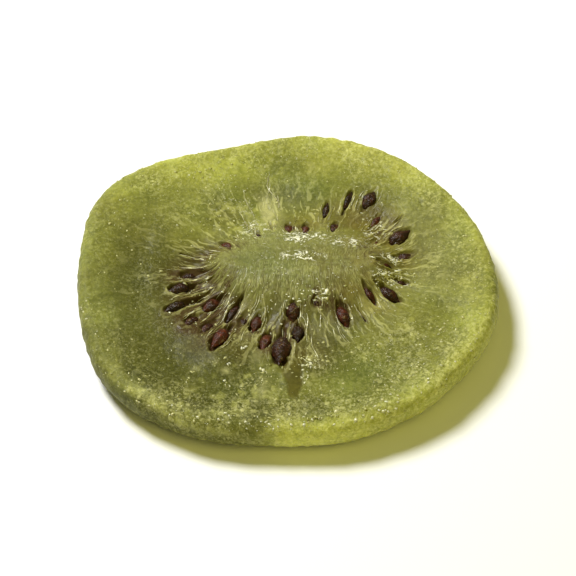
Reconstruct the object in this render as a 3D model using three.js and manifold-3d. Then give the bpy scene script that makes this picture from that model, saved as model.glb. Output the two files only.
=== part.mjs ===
// A dried kiwi slice, cut across the fruit and lying on its underside.
// A pale domed core stands in the middle. Rays of fibre leave it like hyperbolas, and between them the seeds
// sit in sunken pockets. Round them the flesh has sunk a little in drying, and the rim has curled up.
// Millimetres, +Z up, origin at the middle of the base of the slice's box. -Y is the near side.
import * as THREE from "three";
import { mergeVertices } from "three/addons/utils/BufferGeometryUtils.js";
import Module from "manifold-3d";

// Driving dimensions
const LONG_RADIUS = 23; // half the slice's width, along X
const SHORT_RADIUS = 21.4; // half its depth, along Y
const THICKNESS = 4.4; // from what the slice rests on to its cut face, before that sinks
const EDGE_WIDTH = 1.7; // how far in from the outline the rim is rounded
const EDGE_POWER = 2.6; // 2 is a round rim, and more is a squarer one
const CORE = { x: 1.2, y: 1.7, long: 9.3, short: 4.7 };

// Lobes make a round thing uneven: each adds a share, turns times round, highest at an angle in degrees
const OUTLINE_LOBES = [
  { turns: 1, share: 0.02, at: 170 },
  { turns: 2, share: 0.01, at: 9 },
  { turns: 4, share: 0.023, at: 56 },
  { turns: 5, share: 0.019, at: 2 },
  { turns: 6, share: 0.005, at: 27 },
  { turns: 7, share: 0.004, at: 40 },
  { turns: 11, share: 0.003, at: 20 },
];

// The rim lifts in drying. from and to are shares of the way out to the outline.
const CURL = { height: 1.2, from: 0.7, to: 1.15, mean: 0.55 };
const CURL_LOBES = [
  { turns: 2, share: 0.3, at: 165 },
  { turns: 3, share: 0.15, at: -19 },
];

// A ring coordinate grows outwards: the core's edge is at 0.56 and the slice's edge at about 1.75
const DOME = { height: 1, top: 0.17, foot: 0.76 };
const SEED_RING = { inner: 0.45, outer: 1.36, sink: 0.85 };
const FIBRES = { count: 32, height: 0.26 };
const FIBRE_LOBES = [{ turns: 5, share: 0.25, at: 18 }];
const FLESH = { from: 0.4, sink: 0.4, folds: 9, foldHeight: 0.1 };
const FOLD_SHIFT = { turns: 3, share: 1, at: 30 };
const POCKET = { depth: 0.45, long: 1.7, wide: 0.85 };
const CREASE = { angle: 262, start: 1, full: 1.2, fading: 1.4, end: 1.72, depth: 0.6, wide: 0.8 };

// Seeds lie in fans round the core. A fan spreads its seeds evenly between two angles, in degrees.
// reach says how far out each seed lies, in ring coordinates, and size how large it is.
const SEED = { long: 2.45, wide: 1.35, thick: 1.15, stand: 0.26, taper: 0.45 };
const FANS = [
  { from: -10, to: 16, reach: [0.88, 0.6, 0.98], size: [0.6, 0.8, 1] },
  { from: 30, to: 76, reach: [1.05, 1.17, 1.05, 1.22, 1.15, 0.99], size: [1.25, 0.7, 0.9, 1.2, 1.1, 1] },
  { from: 37, to: 68, reach: [0.78, 0.77], size: [0.8, 0.85] },
  { from: 86, to: 118, reach: [0.66, 0.68, 0.76, 0.62], size: [0.85, 0.9, 0.7, 0.8] },
  { from: 145, to: 167, reach: [0.66, 1.06], size: [0.9, 0.8] },
  { from: 183, to: 217, reach: [0.99, 1.12, 1.24, 1.21], size: [0.9, 1.05, 1.1, 0.95] },
  { from: 225, to: 234, reach: [1.17, 1.21], size: [0.85, 1.3] },
  { from: 215, to: 230, reach: [0.94, 0.88], size: [1.05, 1.2] },
  { from: 238, to: 254, reach: [0.9, 0.9, 1.1], size: [0.8, 0.95, 1.15] },
  { from: 262, to: 269, reach: [1.16, 0.95], size: [1.5, 1] },
  { from: 266, to: 296, reach: [0.71, 0.6, 0.82], size: [1.1, 0.75, 1.25] },
  { from: 307, to: 333, reach: [0.92, 0.68, 0.84], size: [0.75, 0.95, 1.15] },
];

// The underside is flatter, with a shallow ring of seeds, and it rests on three low swellings. Each of them
// lies at an angle in degrees, at a share of the way out to the outline.
const LOW_RING = { inner: 0.4, outer: 1.15, sink: 0.3 };
const LOW_SEEDS = { count: 14, from: 8, to: 345, reach: 0.8, reachSpread: 0.14, sizeSpread: 0.15, gap: 0.15 };
const SWELLINGS = { angles: [88, 207, 330], share: 0.74, height: 0.26, radius: 3.6 };

// How finely the surface is cut. The shares go out from the core's middle to where the rim's rounding starts.
const SECTORS = 4 * FIBRES.count;
const TOP_SHARES = [0, 0.1, 0.2, 0.28, 0.35, 0.42, 0.48, 0.54, 0.6, 0.66, 0.72, 0.79, 0.86, 0.93];
const EDGE_STEPS = 7;
const LOW_SHARES = [0.88, 0.76, 0.66, 0.5, 0.36, 0.18, 0];
const SEED_SIDES = 6;
const SEED_RINGS = 4;
const RING_LIMIT = 3;
const RING_STEP = 0.01;
const HALVINGS = 40;

const radians = THREE.MathUtils.degToRad;
const smooth = THREE.MathUtils.smoothstep;
const FOCUS = Math.sqrt(CORE.long ** 2 - CORE.short ** 2);

// A hump that is 1 at the middle of a span and 0 at both its ends
function hump(value, low, high) {
  const middle = (low + high) / 2;
  return smooth(value, low, middle) * (1 - smooth(value, middle, high));
}

const lobe = (angle, { turns, share, at }) => share * Math.cos(turns * (angle - radians(at)));
const unevenness = (angle, lobes) => lobes.reduce((sum, l) => sum + lobe(angle, l), 0);

// The slice's outline, as a radius about the middle
function outlineRadius(angle) {
  const ellipse = 1 / Math.hypot(Math.cos(angle) / LONG_RADIUS, Math.sin(angle) / SHORT_RADIUS);
  return ellipse * (1 + unevenness(angle, OUTLINE_LOBES));
}

// Ring coordinates: curves of one ring are ellipses round the core, and curves of one ray cross them outwards
function place(ring, ray) {
  return new THREE.Vector2(
    CORE.x + FOCUS * Math.cosh(ring) * Math.cos(ray),
    CORE.y + FOCUS * Math.sinh(ring) * Math.sin(ray),
  );
}

const angleOf = (p) => Math.atan2(p.y, p.x);
const outlineShare = (p) => p.length() / outlineRadius(angleOf(p));

// The ring at which a ray meets the outline, by halving
function lastRing(ray) {
  let low = 0;
  let high = RING_LIMIT;
  for (let i = 0; i < HALVINGS; i++) {
    const middle = (low + high) / 2;
    if (outlineShare(place(middle, ray)) < 1) low = middle;
    else high = middle;
  }
  return low;
}

// Where each seed of a fan lies, the direction of its ray, outwards, and its size
function seedsOf(fan) {
  return fan.reach.map((ring, i) => {
    const share = i / (fan.reach.length - 1);
    const ray = radians(fan.from + share * (fan.to - fan.from));
    const at = place(ring, ray);
    const out = place(ring + RING_STEP, ray).sub(at).normalize();
    return { at, out, ring, ray, size: fan.size[i] };
  });
}

// The underside's seeds make one fan all the way round
function lowFan() {
  const indices = Array.from({ length: LOW_SEEDS.count }, (_, i) => i);
  const reach = indices.map((i) => LOW_SEEDS.reach + LOW_SEEDS.reachSpread * Math.sin(2.4 * i));
  const size = indices.map((i) => 1 + LOW_SEEDS.sizeSpread * Math.sin(5 * i + 1));
  return { from: LOW_SEEDS.from, to: LOW_SEEDS.to, reach, size };
}

const topSeeds = FANS.flatMap(seedsOf);
const lowSeeds = seedsOf(lowFan());

// How far the rim has curled up at a point
function curl(p) {
  const uneven = CURL.mean + unevenness(angleOf(p), CURL_LOBES);
  return CURL.height * uneven * smooth(outlineShare(p), CURL.from, CURL.to);
}

// How deep the deepest seed's pocket is at a point
function pocketDepth(p) {
  return topSeeds.reduce((deepest, { at, out, size }) => {
    const dx = p.x - at.x;
    const dy = p.y - at.y;
    const along = (dx * out.x + dy * out.y) / (POCKET.long * size);
    const across = (dy * out.x - dx * out.y) / (POCKET.wide * size);
    return Math.max(deepest, POCKET.depth * Math.exp(-(along ** 2) - across ** 2));
  }, 0);
}

// The soft crease that runs out from the ring's largest seed and fades towards the rim
function creaseDepth(ring, ray) {
  const across = FOCUS * Math.cosh(ring) * (ray - radians(CREASE.angle));
  const section = Math.exp(-((across / CREASE.wide) ** 2));
  const start = smooth(ring, CREASE.start, CREASE.full);
  const fade = 1 - smooth(ring, CREASE.fading, CREASE.end);
  return CREASE.depth * section * start * fade;
}

function topHeight(p, ring, ray) {
  const inRing = hump(ring, SEED_RING.inner, SEED_RING.outer);
  const inFlesh = hump(outlineShare(p), FLESH.from, 1);
  const dome = DOME.height * (1 - smooth(ring, DOME.top, DOME.foot));
  const fibreHeight = FIBRES.height * (1 + unevenness(ray, FIBRE_LOBES));
  const fibre = fibreHeight * Math.cos(FIBRES.count * ray) * inRing;
  const fold = FLESH.foldHeight * Math.cos(FLESH.folds * ray + lobe(ray, FOLD_SHIFT)) * inFlesh;
  const raised = THICKNESS + curl(p) + dome + fibre + fold;
  const sunk = SEED_RING.sink * inRing + FLESH.sink * inFlesh;
  return raised - sunk - pocketDepth(p) - creaseDepth(ring, ray);
}

// How far the nearest swelling of the underside reaches down at a point
function swelling(p) {
  return SWELLINGS.angles.reduce((deepest, degrees) => {
    const angle = radians(degrees);
    const reach = SWELLINGS.share * outlineRadius(angle);
    const away = Math.hypot(p.x - reach * Math.cos(angle), p.y - reach * Math.sin(angle));
    return Math.max(deepest, SWELLINGS.height * (1 - smooth(away, 0, SWELLINGS.radius)));
  }, 0);
}

function lowHeight(p, ring) {
  const sunk = LOW_RING.sink * hump(ring, LOW_RING.inner, LOW_RING.outer);
  return SWELLINGS.height - swelling(p) + curl(p) + sunk;
}

// The signed power of a cosine or sine, which makes the rim's section squarer than a circle
const squarer = (value) => Math.sign(value) * Math.abs(value) ** (2 / EDGE_POWER);

// One line of points round the slice's section, from the core over the rim and back under it
function section(ray) {
  const end = lastRing(ray);
  const step = place(end - RING_STEP, ray).distanceTo(place(end, ray)) / RING_STEP;
  const edgeRings = EDGE_WIDTH / step;
  const faceEnd = end - edgeRings;
  const points = [];
  const add = (ring, heightOf) => {
    const p = place(ring, ray);
    points.push(new THREE.Vector3(p.x, p.y, heightOf(p, ring)));
  };
  for (const share of TOP_SHARES) add(share * faceEnd, (p, ring) => topHeight(p, ring, ray));
  for (let i = 0; i <= EDGE_STEPS; i++) {
    const turn = (Math.PI * i) / EDGE_STEPS;
    const side = squarer(Math.cos(turn));
    add(faceEnd + edgeRings * squarer(Math.sin(turn)), (p, ring) => {
      const high = topHeight(p, ring, ray);
      const low = lowHeight(p, ring);
      return (high + low) / 2 + (side * (high - low)) / 2;
    });
  }
  for (const share of LOW_SHARES) add(share * faceEnd, lowHeight);
  return points;
}

// Joins the sections into one closed surface
function fleshGeometry() {
  const rows = TOP_SHARES.length + EDGE_STEPS + 1 + LOW_SHARES.length;
  const positions = [];
  const faces = [];
  for (let j = 0; j < SECTORS; j++) {
    const ray = (2 * Math.PI * j) / SECTORS;
    for (const point of section(ray)) positions.push(point.x, point.y, point.z);
    const here = j * rows;
    const next = ((j + 1) % SECTORS) * rows;
    for (let i = 0; i + 1 < rows; i++) {
      faces.push(here + i, here + i + 1, next + i + 1, here + i, next + i + 1, next + i);
    }
  }
  const geometry = new THREE.BufferGeometry();
  geometry.setAttribute("position", new THREE.Float32BufferAttribute(positions, 3));
  geometry.setIndex(faces);
  return geometry;
}

// A seed is a flattened ball, blunt at the core's end and pointed at the other
function seedGeometry({ at, out, size }, height) {
  const geometry = new THREE.SphereGeometry(0.5, SEED_SIDES, SEED_RINGS);
  geometry.rotateZ(-Math.PI / 2);
  const position = geometry.attributes.position;
  for (let i = 0; i < position.count; i++) {
    const narrowing = 1 - SEED.taper * smooth(position.getX(i), 0, 0.5);
    position.setY(i, position.getY(i) * narrowing);
    position.setZ(i, position.getZ(i) * narrowing);
  }
  geometry.scale(SEED.long * size, SEED.wide * size, SEED.thick * size);
  geometry.rotateZ(angleOf(out));
  geometry.translate(at.x, at.y, height);
  return geometry;
}

const wasm = await Module();
wasm.setup();

function solidOf(geometry) {
  geometry.deleteAttribute("normal");
  geometry.deleteAttribute("uv");
  const merged = mergeVertices(geometry, 1e-3);
  return new wasm.Manifold(
    new wasm.Mesh({
      numProp: 3,
      vertProperties: new Float32Array(merged.attributes.position.array),
      triVerts: new Uint32Array(merged.index.array),
    }),
  );
}

function geometryOf(solid) {
  const mesh = solid.getMesh();
  const geometry = new THREE.BufferGeometry();
  geometry.setAttribute("position", new THREE.BufferAttribute(mesh.vertProperties, 3));
  geometry.setIndex(new THREE.BufferAttribute(mesh.triVerts, 1));
  geometry.computeVertexNormals();
  return geometry;
}

// The flesh with every seed fused to it
function sliceGeometry() {
  let slice = solidOf(fleshGeometry());
  for (const seed of topSeeds) {
    const height = topHeight(seed.at, seed.ring, seed.ray) + SEED.stand * seed.size;
    slice = slice.add(solidOf(seedGeometry(seed, height)));
  }
  for (const seed of lowSeeds) {
    const height = (SEED.thick * seed.size) / 2 + LOW_SEEDS.gap;
    slice = slice.add(solidOf(seedGeometry(seed, height)));
  }
  return geometryOf(slice);
}

const material = new THREE.MeshStandardMaterial({ color: 0x9aa33a, roughness: 0.35, metalness: 0 });
const slice = new THREE.Mesh(sliceGeometry(), material);
slice.name = "kiwi_slice";
slice.geometry.computeBoundingBox();
const box = slice.geometry.boundingBox;
slice.position.set(-(box.min.x + box.max.x) / 2, -(box.min.y + box.max.y) / 2, -box.min.z);

const group = new THREE.Group();
group.add(slice);

export default group;
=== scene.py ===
"""A dried kiwi slice on a pale floor: moist, translucent flesh, a domed core, and seeds in their pockets."""
import itertools
import math
from types import SimpleNamespace

import bmesh
import bpy
import numpy as np
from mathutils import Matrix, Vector


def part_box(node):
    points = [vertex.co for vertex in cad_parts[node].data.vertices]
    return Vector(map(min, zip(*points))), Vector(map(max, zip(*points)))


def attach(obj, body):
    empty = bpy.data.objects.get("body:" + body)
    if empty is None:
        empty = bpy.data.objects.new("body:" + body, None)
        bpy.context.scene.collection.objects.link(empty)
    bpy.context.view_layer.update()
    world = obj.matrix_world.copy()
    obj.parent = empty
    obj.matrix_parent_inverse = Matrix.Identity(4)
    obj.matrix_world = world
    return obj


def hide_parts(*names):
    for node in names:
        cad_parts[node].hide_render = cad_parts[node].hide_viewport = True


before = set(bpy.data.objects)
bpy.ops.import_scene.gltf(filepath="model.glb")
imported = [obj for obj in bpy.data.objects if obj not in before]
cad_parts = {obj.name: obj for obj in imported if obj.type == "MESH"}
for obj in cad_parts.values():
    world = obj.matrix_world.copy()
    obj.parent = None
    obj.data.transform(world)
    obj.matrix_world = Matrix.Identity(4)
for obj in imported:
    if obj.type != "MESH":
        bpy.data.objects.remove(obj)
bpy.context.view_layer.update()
node_low, node_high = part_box("kiwi_slice")

MM = 0.001
rng = np.random.default_rng(12)

# The slice's shape, in millimetres, as its solid has it
LONG_RADIUS = 23
SHORT_RADIUS = 21.4
THICKNESS = 4.4
EDGE_WIDTH = 1.7
EDGE_POWER = 2.6
CORE = {"x": 1.2, "y": 1.7, "long": 9.3, "short": 4.7}
FOCUS = math.sqrt(CORE["long"] ** 2 - CORE["short"] ** 2)

# Lobes are (turns, share, angle in degrees)
OUTLINE_LOBES = [
    (1, 0.02, 170), (2, 0.01, 9), (4, 0.023, 56), (5, 0.019, 2), (6, 0.005, 27), (7, 0.004, 40),
    (11, 0.003, 20),
]
CURL = {"height": 1.2, "start": 0.7, "end": 1.15, "mean": 0.55}
CURL_LOBES = [(2, 0.3, 165), (3, 0.15, -19)]
DOME = {"height": 1.0, "top": 0.17, "foot": 0.76}
SEED_RING = {"inner": 0.45, "outer": 1.36, "sink": 0.85}
FIBRES = {"count": 32, "height": 0.2}
FIBRE_LOBES = [(5, 0.25, 18)]
FLESH = {"start": 0.4, "sink": 0.4, "folds": 9, "fold_height": 0.1}
FOLD_SHIFT = (3, 1, 30)
CREASE = {"angle": 262, "start": 1.0, "full": 1.2, "fading": 1.4, "end": 1.72, "depth": 0.1, "wide": 0.9}
TONGUE = {"x": 0.4, "start": -10.2, "end": -16.8, "wide": 1.45, "lean": 0.3, "sink": 0.03}
LOW_RING = {"inner": 0.4, "outer": 1.15, "sink": 0.3}
SWELLINGS = {"angles": (88, 207, 330), "share": 0.74, "height": 0.26, "radius": 3.6}

# Heights of fine relief that the solid leaves out, in millimetres
STREAKS = {"height": 0.03, "more_in_ring": 0.035, "fine": 0.03}
LUMPS = {"face": 0.02, "more_at_rim": 0.075, "broad": 0.045, "core": 0.025}

# Directions in degrees, where 0 is the right and 90 the far side
NEAR = 270
NEAR_RIGHT = 300
NEAR_LEFT = 215

# Seeds and their pockets, in millimetres, and a seed's largest tilt and roll
SEED = {"long": 2.45, "wide": 1.35, "thick": 1.15, "stand": 0.26, "sink": 0.55, "hide": 0.35, "taper": 0.74}
SEED_TILT = 0.08
SEED_ROLL = 0.35
POCKET = {"depth": 0.66, "long": 1.6, "wide": 0.74, "lip": 0.13, "tail": 1.1}
# Fans of seeds: (first ray, last ray, seeds), and a seed is (ring, size, show, tail, slim, red).
# show is how far it stands out of its pocket, tail how far the pocket runs in towards the core, slim how
# narrow the seed is, and red how much redder it is than the nearly black ones.
FANS = [
    (-10, 16, [(0.88, 0.6, 0.7, 0.5, 1, 0.2), (0.6, 0.8, 0.2, 0.2, 1, 0.3), (0.98, 1, 0.35, 0.5, 1, 0.2)]),
    (30, 76, [
        (1.05, 1.25, 1, 0.3, 1, 0.2), (1.17, 0.7, 0.6, 0.8, 0.4, 0), (1.05, 0.9, 0.8, 0.9, 0.8, 0.7),
        (1.22, 1.2, 1, 0.4, 1, 0.15), (1.15, 1.1, 1, 0.5, 0.6, 0), (0.99, 1, 1, 0.6, 0.7, 0),
    ]),
    (37, 68, [(0.78, 0.8, 0.2, 0.3, 1, 0.6), (0.77, 0.85, 0.8, 0.3, 1, 0.3)]),
    (86, 118, [
        (0.66, 0.85, 0.9, 0, 1, 0.8), (0.68, 0.9, 0.9, 0, 1, 0.8),
        (0.76, 0.7, 0.3, 0.2, 0.7, 0.2), (0.62, 0.8, 0.3, 0, 0.9, 0.1),
    ]),
    (145, 167, [(0.66, 0.9, 0.9, 0.2, 0.9, 0.9), (1.06, 0.8, 0.5, 0.9, 0.4, 0)]),
    (183, 217, [
        (0.99, 0.9, 0.2, 1, 1, 0.2), (1.12, 1.05, 0.9, 0.9, 1, 0.1),
        (1.24, 1.1, 0.9, 1.6, 0.8, 0), (1.21, 0.95, 0.3, 0.8, 1, 0.3),
    ]),
    (225, 234, [(1.17, 0.85, 0.3, 0.8, 1, 0.3), (1.21, 1.3, 1, 0.6, 0.9, 1)]),
    (215, 230, [(0.94, 1.05, 1, 0.4, 1, 0.5), (0.88, 1.2, 1, 0.5, 0.55, 0.2)]),
    (238, 254, [
        (0.9, 0.8, 0.1, 0.4, 1, 0.2), (0.9, 0.95, 0.9, 0.4, 1, 0.9), (1.1, 1.15, 0.95, 0.6, 0.85, 0.9),
    ]),
    (262, 269, [(1.17, 1.75, 1, 0.6, 0.9, 0.25), (0.95, 1, 1, 0.4, 1, 0)]),
    (266, 296, [
        (0.71, 1.1, 0.9, 0.1, 1, 0.3), (0.6, 0.75, 0.2, 0, 1, 0.3), (0.82, 1.25, 0.8, 0.2, 0.8, 0.6),
    ]),
    (307, 333, [
        (0.92, 0.75, 0.5, 0.8, 0.4, 0), (0.68, 0.95, 0.8, 0.3, 0.7, 0.5), (0.84, 1.15, 1, 0.3, 1, 0.2),
    ]),
]
LOW_SEEDS = {"count": 14, "start": 8, "end": 345, "ring": 0.8, "wave": 0.14, "size_wave": 0.15, "gap": 0.15}

# How finely the pieces are cut
RAYS = 640
TOP_ROWS = 108
EDGE_ROWS = 26
LOW_ROWS = 20
SEED_SIDES = 22
SEED_ROWS = 18
RING_LIMIT = 3
RING_STEP = 0.01
HALVINGS = 40
WELD = 0.001

# Colours, linear
DARK_FLESH = np.array((0.088, 0.09, 0.018))
MID_FLESH = np.array((0.165, 0.173, 0.034))
LIGHT_FLESH = np.array((0.33, 0.343, 0.062))
# Painted glow for the side at the near right
PAINTED_GLOW_FLESH = LIGHT_FLESH * (1, 0.99, 1.2)
# A painted highlight for the crest of the near left rim
CREST_HIGHLIGHT = LIGHT_FLESH * (1.35, 1.32, 2.3)
PULP = LIGHT_FLESH * (1.6, 1.55, 2.4)
CORE_GREEN = np.array((0.178, 0.184, 0.058))
CREAM = np.array((0.55, 0.53, 0.235))
# Frost of sugar crystals, whose white partly paints glints
FROST_AND_GLINT = np.array((0.82, 0.81, 0.64))
POCKET_BROWN = np.array((0.06, 0.034, 0.013))
STAIN = np.array((0.054, 0.031, 0.012))
TONGUE_OLIVE = np.array((0.086, 0.077, 0.014))
BLACK_SEED = np.array((0.014, 0.0075, 0.0045))
RED_SEED = np.array((0.046, 0.014, 0.008))

# The lists that follow, down to the spots of frost and painted glint, are soft spots in which the flesh looks
# different.
# A spot is (x, y, half width, half depth, strength), in millimetres.
# Lighter flesh, or darker where the strength is below 0; the darker spots at the left are partly painted
# shade.
PATCHES = [
    (1.5, 13.2, 5, 1.9, -0.24), (-11.5, -10.5, 6.5, 5, -0.38), (9.3, 11, 2, 2.6, -0.3),
    (4.5, -9.5, 3, 2, -0.18), (-15, 0.5, 2.3, 5, -0.32), (-12, -17, 4, 2, -0.15), (0, -17.8, 7, 2, -0.2),
    (-14, 4, 5, 6, -0.1), (0.4, -13.2, 1, 2, -0.2), (7, -12.8, 5, 3.5, 0.06), (-3, -14.5, 5, 3, 0.03),
    (3, -11.5, 2, 2.5, 0.02), (-7, 15.5, 6, 2.6, 0.34), (13, 12, 5, 4, 0.02), (14.5, 7, 2, 3, -0.25),
    (14, 0.5, 2.5, 2.5, 0.05), (10, 15, 6, 4, -0.12), (17, 8, 4, 6, -0.15), (-15.5, -5, 4, 5, -0.24),
    (-8, 8, 3, 2.5, 0.12), (-2.6, 9.8, 1.7, 2.4, 0.2),
]

# Where the green is bluer
GREENER = [
    (7, -12.5, 3.6, 3, 0.9), (-5, -15.5, 4, 2.4, 0.6), (2, 13.2, 5, 2.2, 0.9), (-5, 11.5, 4, 1.6, 0.5),
    (-3.5, 1.6, 3, 1.8, 0.4),
]

# Pale translucent wisps that run outwards
WISPS = [
    (-2.4, 10.3, 1.1, 2.2, 1.3), (9, -3, 1.6, 1.2, 0.8), (11.5, -0.3, 1.2, 1, 0.6),
    (-6, -6.2, 1.2, 1.2, 0.7), (-4.7, -3.9, 0.9, 1, 0.9), (-5.6, 10.2, 1.3, 1, 0.6),
    (-0.6, 8.3, 0.7, 1.4, 0.5), (3.4, 8.6, 0.8, 1.2, 0.6), (-4.4, -7.2, 1, 1.4, 0.7),
    (-3.2, -10.6, 0.8, 1.2, 0.5), (-2.6, -13.8, 0.7, 1.4, 0.5), (-2.8, -15.2, 0.6, 0.9, 0.9),
    (-6.5, -12.6, 0.5, 0.4, 0.9), (-7.8, -11.4, 0.4, 0.4, 0.8), (-3.4, -16.6, 0.9, 0.35, 0.3),
    (-3.6, 8, 0.9, 1.4, 0.6), (4.2, -6, 1.4, 2, 0.35), (3.4, -10.8, 1, 1.6, 0.15), (9, 5, 1.5, 0.8, 0.4),
]

# Where thin brown membranes warm the green
WARMER = [
    (7.5, 9.8, 3.6, 2.8, 1.2), (10.8, 7.2, 2.6, 2.8, 1.1), (10.5, 3.2, 2.8, 2.8, 0.9),
    (9, 0.5, 2.8, 1.8, 0.8), (6.5, -2.2, 2.8, 1.8, 1.1), (10, -3.4, 2.2, 1.4, 0.6),
    (2.5, 8.5, 2.2, 1.8, 0.6), (7, 5, 2.5, 1.5, 0.6), (-8, 5, 3, 2, 0.6), (-1, -9, 2.5, 2.5, 0.5),
    (-9.2, -9.2, 2.2, 2, 0.9), (-5.5, -10.3, 1.8, 2, 0.8), (5, 2, 3, 2, 0.5), (14, 3, 2, 2.5, 0.5),
    (3, -11, 1.5, 2.2, 0.8),
]

# Brown stains round the seeds
STAINS = [
    (-10.6, 0.9, 2.6, 1.4, 1.5), (-10, -5.4, 2.6, 2, 1.7), (-8.2, -7, 2.2, 2.2, 1.5),
    (-9, -2.4, 3.4, 2.2, 1.7), (-6, -5.4, 1.8, 1.7, 0.7), (-3.2, -7, 2, 2, 0.8),
    (0.4, -6.6, 1.7, 2.6, 1.1), (-2.2, -9.6, 0.9, 1.2, 0.8), (3.4, -2.9, 1.8, 1.2, 1),
    (5.8, -4.3, 1.7, 1.5, 0.8), (8.8, -2.4, 2.4, 1.5, 0.1), (11.2, 2.4, 2.2, 1.5, 0.25),
    (11, 7.6, 1.8, 1.8, 0.8), (8.4, 9.4, 2.4, 2.4, 0.3), (5.6, 9, 2, 2.2, 0.3),
    (5.5, 1.2, 2.8, 1.6, 0.22), (2.8, -10.4, 1.8, 2.2, 0.35), (8.1, 3.4, 1.2, 1, 0.9),
    (1, 7.6, 1.8, 1.6, 0.8), (-7, 4.2, 2.2, 1, 1), (-9.8, 3.2, 2.2, 0.8, 0.8),
]

# Where the flesh is grainy with pale clots of pulp
GRAINY = [
    (3, -12.3, 1.5, 3, 0.6), (-4.2, -14.5, 2.4, 2.2, 0.7), (-2, -17.5, 4, 1.6, 0.9),
    (8.5, -11.5, 5, 4, 0.6), (14, -8, 4, 6, 0.6), (8, -17, 7, 2.2, 0.7), (-9, 8.5, 3.4, 2.2, 0.55),
    (-5, 14, 7, 2.6, 0.4), (9, 15.5, 8, 2.6, 0.35), (14.5, 3, 3, 4, 0.45), (-16, 1, 3, 8, 0.2),
]

# Where clumps of pale pulp show in the flesh
CLUMPS = [
    (-4.8, -14, 4.6, 2.6, 1), (2.6, -11.6, 1.2, 2, 0.4), (12.5, -8.5, 4, 5, 0.6),
    (-4.5, 8.5, 4.6, 2.6, 1), (-9, 10.5, 5, 2, 0.6), (-9, -17.5, 6, 1.6, 0.8), (0, 17, 14, 2, 0.4),
]

# Where the colour as a whole is darker, or paler where the strength is below 0; the darker spots at the left
# and lower left are partly painted shade.
SHADES = [
    (-12, -11, 4.5, 4.5, 1), (-5.4, -10.4, 1.7, 1.9, 1), (-15.4, 0.2, 2.4, 3.2, 1.4),
    (-3, -12, 1.8, 2, 1), (-3, 12.2, 1.5, 1.5, 1.4), (0.2, -12.2, 1.2, 1.6, 0.6), (5, -9, 3.5, 3, 0.5),
    (9, 11.6, 2, 2.6, 0.9), (9, 6, 1.5, 1.4, 1), (-5, -19, 5, 1.5, 1), (-3, -17, 3, 1.1, 1),
    (2.8, -10.7, 1.5, 2.5, 0.8), (14, 3, 1.8, 2, 0.7), (3, 3, 3, 1.5, 0.4), (9, -3, 2.3, 1.6, -1.9),
    (12, -0.5, 2, 2, -0.8), (-12, 6, 2, 2, -0.8), (-7.5, 6, 3, 1.5, -0.5), (-3.2, 9.3, 1.8, 1.8, -1.2),
    (-5.6, -5.8, 1.7, 1.5, -2), (-14, -14, 3, 2, 0.5), (-11.5, -17.5, 2.5, 1.5, 0.6),
    (12, -12, 2, 2, 0.5),
]

# Where the surface is duller
DULL = [
    (15, 6, 4, 6, 1), (18, 0, 3, 4, 1), (-9.8, -9.6, 2.6, 2, 0.9), (3.4, -5.5, 2.4, 2.2, 0.8),
    (-8, 6.6, 2.6, 2, 0.7), (0.3, 11.7, 3, 2.6, 0.8), (-20, -8, 2.5, 8, 1),
]

# Where the surface is frosted with tiny crystals, which also serve as painted glints
FROST_AND_GLINT_SPOTS = [
    (1.4, 5.5, 1.7, 0.8, 1), (2, 2.3, 1.6, 0.4, 0.9), (6.6, 4.8, 1.8, 1, 0.5), (0, 2, 5.5, 2.6, 0.1),
    (11.2, 0.2, 1.4, 0.6, 1.1), (11.2, 3.4, 0.9, 0.6, 0.8), (3, -2.7, 0.8, 0.35, 0.9),
    (9.5, 8, 1.6, 1.6, 0.3), (2.3, -11.6, 0.7, 0.5, 0.2), (-6, 11, 3, 1.6, 0.1), (11, -10, 4.5, 4, 0.06),
    (-3.6, 7.5, 2, 2, 0.2),
]


def held(value):
    return np.clip(value, 0, 1)


def smooth(value, low, high):
    """0 below low, 1 above high, and a soft step between them."""
    share = held((value - low) / (high - low))
    return share * share * (3 - 2 * share)


def fade(value, low, high):
    """The reverse: 1 below low and 0 above high."""
    return 1 - smooth(value, low, high)


def hump(value, low, high):
    """1 at the middle of a span and 0 at both its ends."""
    middle = (low + high) / 2
    return smooth(value, low, middle) * fade(value, middle, high)


def span(value, start, full, fading, end):
    """1 from full to fading, and 0 before start and after end."""
    return smooth(value, start, full) * fade(value, fading, end)


def bell(value, middle, width):
    return np.exp(-(((value - middle) / width) ** 2))


def lobe(angle, turns, share, at):
    return share * np.cos(turns * (angle - math.radians(at)))


def unevenness(angle, lobes):
    return sum(lobe(angle, *each) for each in lobes)


def turn_from(ray, middle):
    """The turn from one ray to another, from half a turn back to half a turn on."""
    return (ray - middle + math.pi) % (2 * math.pi) - math.pi


def facing(x, y, degrees):
    """1 on the side that lies in a direction, and 0 from a quarter turn away from it."""
    return held(np.cos(np.arctan2(y, x) - math.radians(degrees)))


def turned(x, y, angle):
    return x * math.cos(angle) - y * math.sin(angle), x * math.sin(angle) + y * math.cos(angle)


# Value noise from a seeded lattice that repeats every LATTICE cells
LATTICE = 64
lattice = np.random.default_rng(7).uniform(-1, 1, (LATTICE, LATTICE, LATTICE))


def noise3(x, y, z):
    """Smooth noise from -1 to 1 with cells of size 1."""
    cells = [np.floor(c).astype(int) for c in (x, y, z)]
    shares = [smooth(c - cell, 0, 1) for c, cell in zip((x, y, z), cells)]
    total = 0
    for picks in itertools.product((0, 1), repeat=3):
        indices = tuple((cell + pick) % LATTICE for cell, pick in zip(cells, picks))
        weights = [share if pick else 1 - share for share, pick in zip(shares, picks)]
        total = total + weights[0] * weights[1] * weights[2] * lattice[indices]
    return total


def noise(points, cell, seed):
    """Noise in space, for points in millimetres as an array whose last axis is x, y, z."""
    shift = 7.3 * seed
    x, y, z = np.moveaxis(points, -1, 0) / cell
    return noise3(x + shift, y - shift, z + 2 * shift)


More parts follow.
